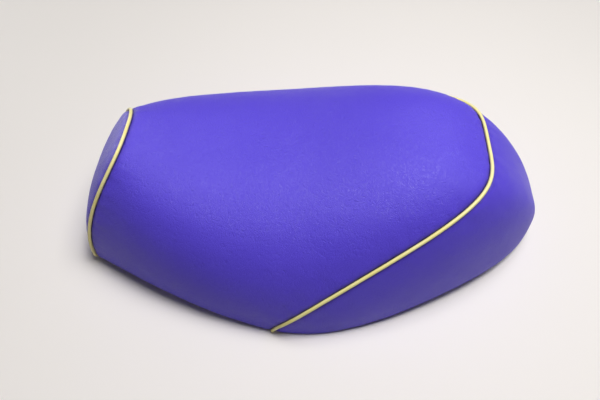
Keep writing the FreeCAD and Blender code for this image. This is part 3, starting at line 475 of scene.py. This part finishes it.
def piping_bead(name, row):
    """A round bead along a seam, with both ends turned under."""
    line = cut(cover, row, row, 0.0)[0][hem_count - BEAD_TUCK:-hem_count + BEAD_TUCK]
    facing = cut(cover_facing, row, row, 0.0)[0][hem_count - BEAD_TUCK:-hem_count + BEAD_TUCK]
    under = np.zeros(len(line))
    under[:BEAD_TUCK] = np.linspace(1, 0, BEAD_TUCK)
    under[-BEAD_TUCK:] = np.linspace(0, 1, BEAD_TUCK)
    radii = BEAD_RADIUS + (BEAD_END_RADIUS - BEAD_RADIUS) * under
    lifts = BEAD_LIFT + (BEAD_END_RADIUS + HEM_CLEARANCE - BEAD_LIFT) * under
    line = line + facing * lifts[:, None]
    run = np.concatenate([[0.0], np.cumsum(np.linalg.norm(np.diff(line, axis=0), axis=1))])
    even = np.linspace(0, run[-1], int(run[-1] / BEAD_SPACING))
    line = np.stack([np.interp(even, run, line[:, axis]) for axis in range(3)], axis=1)
    facing = np.stack([np.interp(even, run, facing[:, axis]) for axis in range(3)], axis=1)
    radii = np.interp(even, run, radii)
    along = np.gradient(line, axis=0)
    along /= np.linalg.norm(along, axis=1)[:, None]
    facing -= along * np.sum(facing * along, axis=1)[:, None]
    facing /= np.linalg.norm(facing, axis=1)[:, None]
    sideways = np.cross(along, facing)
    points = []
    for number in range(len(line)):
        wander = noise.noise(Vector((even[number] * BEAD_BENDS, BEND_LANE, 0.0)))
        centre = line[number] + sideways[number] * BEAD_WANDER * wander
        swelling = noise.noise(Vector((even[number] * BEAD_SWELLINGS, SWELLING_LANE, 0.0)))
        thick = radii[number] * (1 + BEAD_UNEVEN * swelling)
        from_end = min(number, len(line) - 1 - number)
        thick *= min(1.0, BEAD_TIP + BEAD_TIP_RISE * from_end)
        for turn in range(BEAD_TURNS):
            angle = 2 * math.pi * turn / BEAD_TURNS
            out = facing[number] * math.cos(angle) + sideways[number] * math.sin(angle)
            points.append(centre + out * thick)
    faces = []
    for number in range(len(line) - 1):
        for turn in range(BEAD_TURNS):
            here = number * BEAD_TURNS + turn
            beside = number * BEAD_TURNS + (turn + 1) % BEAD_TURNS
            faces.append((here, beside, beside + BEAD_TURNS, here + BEAD_TURNS))
    faces.append(tuple(range(BEAD_TURNS))[::-1])
    faces.append(tuple(len(points) - BEAD_TURNS + turn for turn in range(BEAD_TURNS)))
    return mesh_piece(name, points, faces)


bead_vinyl, tree, shader = finish("pale_yellow_piping", PIPING, roughness=0.36)
pores, creases = leather_grain(tree, fine=900.0, long=300.0)
handling = cloud(tree, place(tree), scale=40.0, detail=4.0)
colour = blend(tree, span(tree, handling.outputs["Fac"], 0.0, 1.0, 0.3, 0.7), PIPING, PIPING_PALE)
# Painted shade: the piping is darkened in its creases.
colour = blend(tree, span(tree, creases, 0.30, 0.0), colour, PIPING_CREASE_SHADE)
tree.links.new(colour, shader.inputs["Base Color"])
tree.links.new(span(tree, handling.outputs["Fac"], 0.30, 0.44, 0.3, 0.7), shader.inputs["Roughness"])
deep = relief(tree, creases, distance=0.0003, strength=0.4)
tree.links.new(relief(tree, pores, distance=0.0001, strength=0.5, under=deep), shader.inputs["Normal"])

for name, row, node in (
        ("bead_nose", nose_row, "front_piping"), ("bead_tail", tail_row, "rear_piping")):
    piece = piping_bead(name, row)
    piece.data.materials.append(bead_vinyl)
    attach(piece, "seat")
    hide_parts(node)

# Foam bun. One moulded block of polyurethane foam that fills the cover down to the pan. Its
# skin is soft-edged, slightly uneven, and pressed in under the seams; its pores are fine.
FOAM_CELL = 0.004
FOAM_INSET = 0.0011
FOAM_PRESS = 0.0026
FOAM_PRESS_WIDTH = 0.008
FOAM_UNEVEN = 0.0003
FOAM_LUMPS = 45
FOAM = (0.72, 0.60, 0.33)
# Darker foam, for aged patches and for painted shade in the pores.
FOAM_AGED_AND_PORE_SHADE = (0.56, 0.41, 0.17)

block = bpy.data.objects.new("foam_block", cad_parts["foam_bun"].data.copy())
bpy.context.scene.collection.objects.link(block)
remesh = block.modifiers.new("moulded", "REMESH")
remesh.mode = "VOXEL"
remesh.voxel_size = FOAM_CELL
bpy.context.view_layer.update()
moulded = block.evaluated_get(bpy.context.evaluated_depsgraph_get())
foam_mesh = bpy.data.meshes.new_from_object(moulded)
bpy.data.objects.remove(block)
foam_cushion = bpy.data.objects.new("foam_cushion", foam_mesh)
bpy.context.scene.collection.objects.link(foam_cushion)
work = bmesh.new()
work.from_mesh(foam_mesh)
bmesh.ops.smooth_vert(
    work, verts=work.verts, factor=0.5, use_axis_x=True, use_axis_y=True, use_axis_z=True)
work.normal_update()
shifts = []
for vertex in work.verts:
    gap = min(seam.find(vertex.co)[2] for seam in seams)
    press = FOAM_PRESS * math.exp(-(gap / FOAM_PRESS_WIDTH) ** 2)
    uneven = FOAM_UNEVEN * (1 + noise.noise(vertex.co * FOAM_LUMPS))
    shifts.append(vertex.normal * -(FOAM_INSET + press + uneven))
for vertex, shift in zip(work.verts, shifts):
    vertex.co += shift
for face in work.faces:
    face.smooth = True
work.to_mesh(foam_mesh)
work.free()

foam, tree, shader = finish("polyurethane_foam", FOAM, roughness=0.95)
where = place(tree)
ageing = cloud(tree, where, scale=14.0, detail=4.0)
cells = new_node(tree, "TexVoronoi", Scale=780.0)
tree.links.new(where, cells.inputs["Vector"])
open_cells = span(tree, cells.outputs["Distance"], 0.0, 1.0, 0.1, 0.6)
colour = blend(tree, span(tree, ageing.outputs["Fac"], 0.0, 0.7, 0.35, 0.75), FOAM, FOAM_AGED_AND_PORE_SHADE)
# Painted shade: the foam is darkened in the pits of its open cells.
colour = blend(tree, span(tree, open_cells, 0.45, 0.0), colour, FOAM_AGED_AND_PORE_SHADE)
tree.links.new(colour, shader.inputs["Base Color"])
tree.links.new(relief(tree, open_cells, distance=0.0004, strength=0.8), shader.inputs["Normal"])
foam_mesh.materials.clear()
foam_mesh.materials.append(foam)
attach(foam_cushion, "seat")
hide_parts("foam_bun")

# Seat pan. Injection-moulded black polypropylene with a spark-eroded texture, ribs and a raised
# deck. It is scuffed paler along its edges, and dull with patches of dust.
PAN = (0.016, 0.016, 0.018)
PAN_DUST = (0.075, 0.070, 0.064)
PAN_WORN = (0.12, 0.12, 0.125)


def edge_wear(tree, radius, start, end):
    """How close a point is to an edge, from 0 to 1, and the normal of the softened edge."""
    soft = new_node(tree, "Bevel", samples=4, Radius=radius)
    flat = new_node(tree, "NewGeometry")
    meet = new_node(tree, "VectorMath", operation="DOT_PRODUCT")
    tree.links.new(soft.outputs["Normal"], meet.inputs[0])
    tree.links.new(flat.outputs["Normal"], meet.inputs[1])
    return span(tree, meet.outputs["Value"], 0.0, 1.0, start, end), soft.outputs["Normal"]


def give(material, *names):
    """Puts a material on frame nodes, on their objects only."""
    for name in names:
        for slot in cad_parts[name].material_slots:
            slot.link = "OBJECT"
            slot.material = material


pan_plastic, tree, shader = finish("moulded_pan", PAN, roughness=0.5)
where = place(tree)
dust = cloud(tree, where, scale=24.0, detail=6.0)
texture = cloud(tree, where, scale=1400.0, detail=2.0)
worn, soft = edge_wear(tree, radius=0.0006, start=0.995, end=0.93)
colour = blend(tree, span(tree, dust.outputs["Fac"], 0.0, 0.55, 0.45, 0.8), PAN, PAN_DUST)
colour = blend(tree, worn, colour, PAN_WORN)
tree.links.new(colour, shader.inputs["Base Color"])
tree.links.new(span(tree, dust.outputs["Fac"], 0.42, 0.68, 0.3, 0.7), shader.inputs["Roughness"])
normal = relief(tree, texture.outputs["Fac"], distance=0.00012, strength=0.6, under=soft)
tree.links.new(normal, shader.inputs["Normal"])
give(pan_plastic, "seat_pan")

# Staples and steel fastenings. Galvanised wire staples through the hem; zinc-plated bolts, nuts,
# washers and backing plate, with the faint yellow bloom and dull spots that plating gets.
ZINC = (0.62, 0.60, 0.54)
ZINC_BLOOM = (0.50, 0.47, 0.34)
ZINC_DULL = (0.30, 0.30, 0.29)
RUBBED_BRIGHTER = 1.25


def metal(name, bright, dull, spots, roughness, stretch=(1.0, 1.0, 1.0)):
    """A metal with cloudy dull spots, drawn or rolled scratches and bright rubbed edges."""
    material, tree, shader = finish(name, bright, roughness, metallic=1.0)
    where = place(tree)
    tarnish = cloud(tree, where, spots, detail=5.0)
    lines = new_node(tree, "Mapping", vector_type="TEXTURE")
    lines.inputs["Scale"].default_value = stretch
    tree.links.new(where, lines.inputs["Vector"])
    scratches = cloud(tree, lines.outputs["Vector"], scale=1600.0, detail=2.0)
    worn, soft = edge_wear(tree, radius=0.0003, start=0.995, end=0.9)
    colour = blend(tree, span(tree, tarnish.outputs["Fac"], 0.0, 0.9, 0.42, 0.72), bright, dull)
    colour = blend(tree, worn, colour, tuple(min(1.0, RUBBED_BRIGHTER * part) for part in bright))
    tree.links.new(colour, shader.inputs["Base Color"])
    rough = span(tree, tarnish.outputs["Fac"], roughness * 0.8, roughness * 1.5, 0.35, 0.75)
    tree.links.new(rough, shader.inputs["Roughness"])
    normal = relief(tree, scratches.outputs["Fac"], distance=0.00004, strength=0.5, under=soft)
    tree.links.new(normal, shader.inputs["Normal"])
    return material


give(metal("galvanised_wire", ZINC, ZINC_DULL, spots=260.0, roughness=0.34), "cover_staples")
give(
    metal("zinc_plate", ZINC, ZINC_BLOOM, spots=95.0, roughness=0.30),
    "bracket_bolts", "bracket_nuts", "backing_plate",
    "striker_bolts", "striker_nuts", "striker_washers")

# Pressed brackets. The hinge leaf, the hinge bracket and the striker plate are pressed from
# sheet and dipped black; the coat is satin and thin, and rubs through to steel at the edges.
BLACK_COAT = (0.022, 0.022, 0.024)
BLACK_COAT_DULL = (0.050, 0.047, 0.044)
BARE_STEEL = (0.34, 0.33, 0.32)

coated, tree, shader = finish("black_dipped_steel", BLACK_COAT, roughness=0.38, metallic=0.25)
where = place(tree)
patches = cloud(tree, where, scale=70.0, detail=5.0)
orange_peel = cloud(tree, where, scale=620.0, detail=2.0)
worn, soft = edge_wear(tree, radius=0.0005, start=0.99, end=0.85)
colour = blend(
    tree, span(tree, patches.outputs["Fac"], 0.0, 0.8, 0.4, 0.75), BLACK_COAT, BLACK_COAT_DULL)
colour = blend(tree, span(tree, worn, 0.0, 0.75), colour, BARE_STEEL)
tree.links.new(colour, shader.inputs["Base Color"])
tree.links.new(span(tree, patches.outputs["Fac"], 0.30, 0.52, 0.3, 0.7), shader.inputs["Roughness"])
normal = relief(tree, orange_peel.outputs["Fac"], distance=0.00008, strength=0.45, under=soft)
tree.links.new(normal, shader.inputs["Normal"])
give(coated, "hinge_leaf", "hinge_bracket", "striker_plate")

# Hinge pin, its clip and the striker hoop. Turned and bent from bright drawn bar, so the fine
# lines run with the drawing; the clip is darker, oil-tempered spring steel.
DRAWN_STEEL = (0.66, 0.65, 0.63)
DRAWN_DULL = (0.42, 0.41, 0.39)
SPRING_STEEL = (0.17, 0.16, 0.17)
SPRING_DARK = (0.08, 0.075, 0.09)

give(
    metal("drawn_steel", DRAWN_STEEL, DRAWN_DULL, spots=120.0, roughness=0.22,
          stretch=(1.0, 14.0, 1.0)),
    "hinge_pin", "striker_hoop")
give(metal("spring_steel", SPRING_STEEL, SPRING_DARK, spots=150.0, roughness=0.36), "pin_clip")

# Hinge bushes. Two flanged sleeves of natural nylon, moulded, slightly translucent and a little
# yellowed. They are pressed into the ears of the bracket and turn, greased, on the pin.
NYLON = (0.78, 0.74, 0.62)
NYLON_GREASE = (0.42, 0.35, 0.22)

nylon, tree, shader = finish("natural_nylon", NYLON, roughness=0.40)
grease = cloud(tree, place(tree), scale=180.0, detail=4.0)
colour = blend(tree, span(tree, grease.outputs["Fac"], 0.0, 0.8, 0.5, 0.8), NYLON, NYLON_GREASE)
tree.links.new(colour, shader.inputs["Base Color"])
shader.inputs["Subsurface Weight"].default_value = 0.15
shader.inputs["Subsurface Scale"].default_value = 0.001
normal = relief(tree, grease.outputs["Fac"], distance=0.0001, strength=0.4)
tree.links.new(normal, shader.inputs["Normal"])
give(nylon, "hinge_bushes")

# Bumpers and breather plugs. Black moulded rubber: matt, faintly pitted from the mould, with a
# grey bloom on the faces and rubbed shine at the edges of the feet.
RUBBER = (0.014, 0.014, 0.014)
RUBBER_BLOOM = (0.070, 0.070, 0.072)

rubber, tree, shader = finish("moulded_rubber", RUBBER, roughness=0.72)
where = place(tree)
bloom = cloud(tree, where, scale=110.0, detail=5.0)
pits = cloud(tree, where, scale=900.0, detail=3.0)
worn, soft = edge_wear(tree, radius=0.0007, start=0.99, end=0.9)
colour = blend(tree, span(tree, bloom.outputs["Fac"], 0.0, 0.8, 0.42, 0.75), RUBBER, RUBBER_BLOOM)
tree.links.new(colour, shader.inputs["Base Color"])
tree.links.new(span(tree, worn, 0.74, 0.45), shader.inputs["Roughness"])
normal = relief(tree, pits.outputs["Fac"], distance=0.0002, strength=0.5, under=soft)
tree.links.new(normal, shader.inputs["Normal"])
give(rubber, "front_bumpers", "side_bumpers", "rear_bumpers", "breather_plugs")

# Floor. A plain pale warm-grey paper sweep that the seat stands on. It is not part of the seat;
# it takes the shadow and throws some light back up at the lower sides.
FLOOR = (0.94, 0.895, 0.85)
FLOOR_BOUNCE = (0.70, 0.67, 0.65)
FLOOR_MOTTLE = 0.97
FLOOR_SIZE = 8.0

half = FLOOR_SIZE / 2
floor = mesh_piece(
    "floor", [(-half, -half, 0), (half, -half, 0), (half, half, 0), (-half, half, 0)],
    [(0, 1, 2, 3)])
sweep, tree, shader = finish("pale_sweep", FLOOR, roughness=0.85)
mottle = cloud(tree, place(tree), scale=2.2, detail=2.0)
tone = tuple(FLOOR_MOTTLE * part for part in FLOOR)
colour = blend(tree, mottle.outputs["Fac"], FLOOR, tone)
ray = new_node(tree, "LightPath")
colour = blend(tree, ray.outputs["Is Camera Ray"], FLOOR_BOUNCE, colour)
tree.links.new(colour, shader.inputs["Base Color"])
floor.data.materials.append(sweep)

# Studio light. A soft box and an even soft top light, both overhead on the tail side, a
# small low panel beyond the nose that only puts a sheen on it, and a pale room. Each lamp is
# given by its place, its width in metres or degrees, and its strength.
KEY = ((0.30, 0.07, 1.25), 0.5, 8.4)
NOSE_LAMP = ((-1.05, 0.64, 0.34), 0.5, 6.5)
TOP_LIGHT = ((0.24, 0.05, 0.95), 20.0, 1.34)
ROOM = (0.93, 0.91, 0.90)
ROOM_LIGHT = 0.06
CEILING = 2.4

for name, (position, width, power) in (
        ("key", KEY), ("nose_panel", NOSE_LAMP), ("top", TOP_LIGHT)):
    lamp = bpy.data.lights.new(name, "SUN" if name == "top" else "AREA")
    if name == "top":
        lamp.angle = math.radians(width)
    else:
        lamp.size = width
    lamp.energy = power
    box = bpy.data.objects.new(name, lamp)
    box.visible_diffuse = name != "nose_panel"
    box.location = position
    box.rotation_euler = Vector(position).to_track_quat("Z", "Y").to_euler()
    bpy.context.scene.collection.objects.link(box)
room = bpy.data.worlds.new("room")
room.use_nodes = True
bpy.context.scene.world = room
tree = room.node_tree
air = tree.nodes["Background"]
air.inputs["Color"].default_value = (*ROOM, 1)
ray = new_node(tree, "LightPath")
upward = new_node(tree, "SeparateXYZ")
tree.links.new(new_node(tree, "TexCoord").outputs["Generated"], upward.inputs["Vector"])
ceiling = span(tree, upward.outputs["Z"], 0.0, CEILING, 0.15, 0.75)
sheen = new_node(tree, "Math", operation="MULTIPLY_ADD")
tree.links.new(ray.outputs["Is Glossy Ray"], sheen.inputs[0])
tree.links.new(ceiling, sheen.inputs[1])
sheen.inputs[2].default_value = ROOM_LIGHT
strength = new_node(tree, "Math", operation="MAXIMUM")
tree.links.new(ray.outputs["Is Camera Ray"], strength.inputs[0])
tree.links.new(sheen.outputs["Value"], strength.inputs[1])
tree.links.new(strength.outputs["Value"], air.inputs["Strength"])

# Camera. High on the vehicle's left side, close to the seat, looking down on the saddle. Its
# lens is fairly wide, so the near side looks larger than the far one.
AZIMUTH = math.radians(3.3)
ELEVATION = math.radians(53.4)
DISTANCE = 0.66465
AIM = Vector((-0.01444, -0.02316, 0.0645))
LENS = 32.51
SENSOR_WIDTH = 36.0
NEAREST = 0.01

lens = bpy.data.cameras.new("camera")
lens.lens = LENS
lens.sensor_width = SENSOR_WIDTH
lens.clip_start = NEAREST
camera = bpy.data.objects.new("camera", lens)
level = math.cos(ELEVATION)
camera.location = AIM + DISTANCE * Vector((
    math.sin(AZIMUTH) * level, -math.cos(AZIMUTH) * level, math.sin(ELEVATION)))
camera.rotation_euler = (math.pi / 2 - ELEVATION, 0.0, AZIMUTH)
bpy.context.scene.collection.objects.link(camera)
bpy.context.scene.camera = camera
bpy.context.scene.view_settings.view_transform = "Standard"
